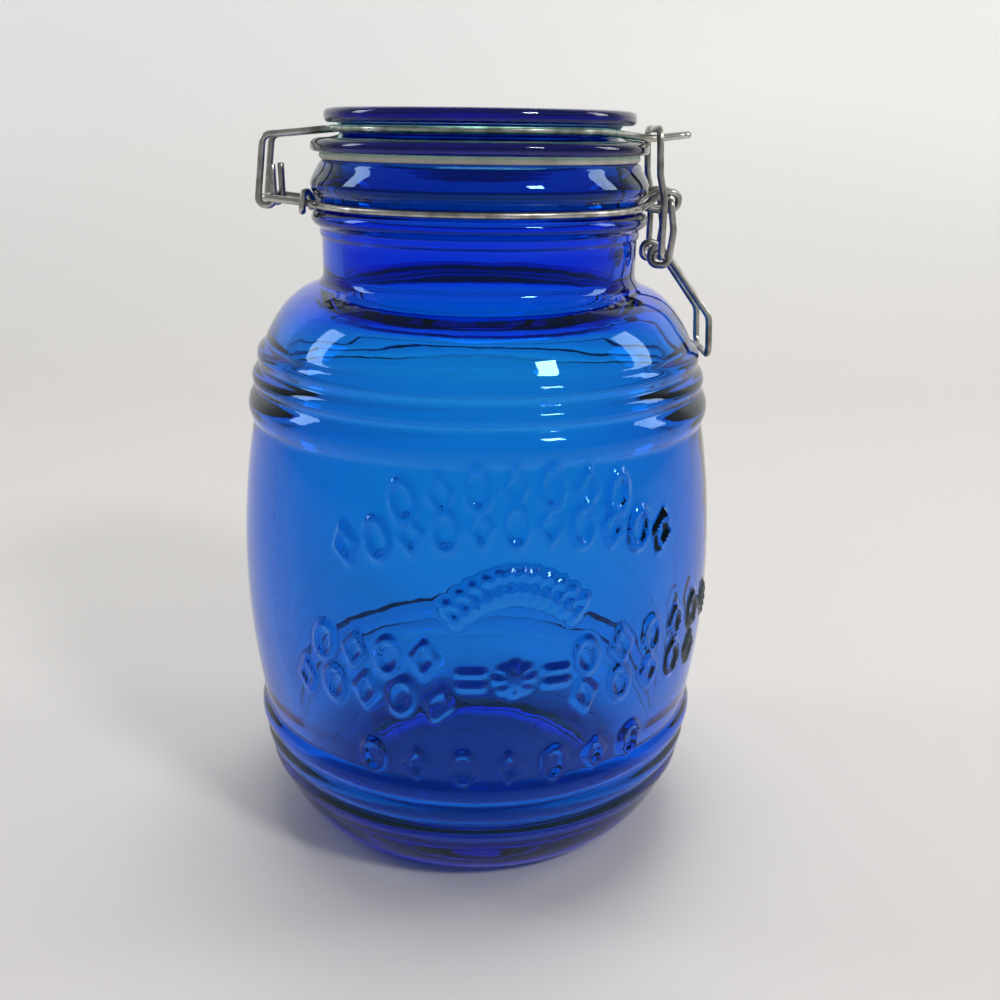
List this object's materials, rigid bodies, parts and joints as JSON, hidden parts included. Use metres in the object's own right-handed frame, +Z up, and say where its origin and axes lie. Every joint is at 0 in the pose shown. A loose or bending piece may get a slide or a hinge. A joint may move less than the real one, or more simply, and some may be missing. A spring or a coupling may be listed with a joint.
{
  "type": "bail clamp jar",
  "caption": "Barrel-shaped glass storage jar with raised bands, a hinged glass lid, a rubber gasket and an over-centre wire bail clamp.",
  "frame": {"origin": "on the jar's axis, on the plane that the base rests on", "axes": "+Z up along the jar's axis, +X towards the clamp, -X towards the hinge, Y across the wires"},
  "size_m": [0.1464, 0.1464, 0.22],
  "materials": {
    "blue_glass": "moulded cobalt blue glass, glossy",
    "lid_blue_glass": "moulded cobalt blue glass, glossy",
    "steel_wire": "drawn zinc-plated steel wire, satin",
    "pale_rubber": "matte pale grey moulded rubber"
  },
  "bodies": {
    "jar": {"jar_body": "blue_glass", "neck_wire": "steel_wire", "hinge_tie": "steel_wire"},
    "lid": {"lid_glass": "lid_blue_glass", "gasket": "pale_rubber", "lid_wire": "steel_wire"},
    "lever": {"lever": "steel_wire"},
    "link": {"link": "steel_wire"}
  },
  "joints": [
    {"name": "lid_hinge", "type": "hinge", "parent": "jar", "child": "lid", "pos_m": [-0.0616, 0, 0.1954], "axis": [0, -1, 0], "range_deg": [0, 200]},
    {"name": "lever_turn", "type": "hinge", "parent": "jar", "child": "lever", "pos_m": [0.0549, 0, 0.1955], "axis": [0, -1, 0], "range_deg": [0, 140]},
    {"name": "link_swing", "type": "hinge", "parent": "lever", "child": "link", "pos_m": [0.0525, 0, 0.18], "axis": [0, -1, 0], "range_deg": [-140, 0]}
  ],
  "couplings": [
    {"joint": "link_swing", "follows": "lever_turn", "ratio": -1}
  ]
}
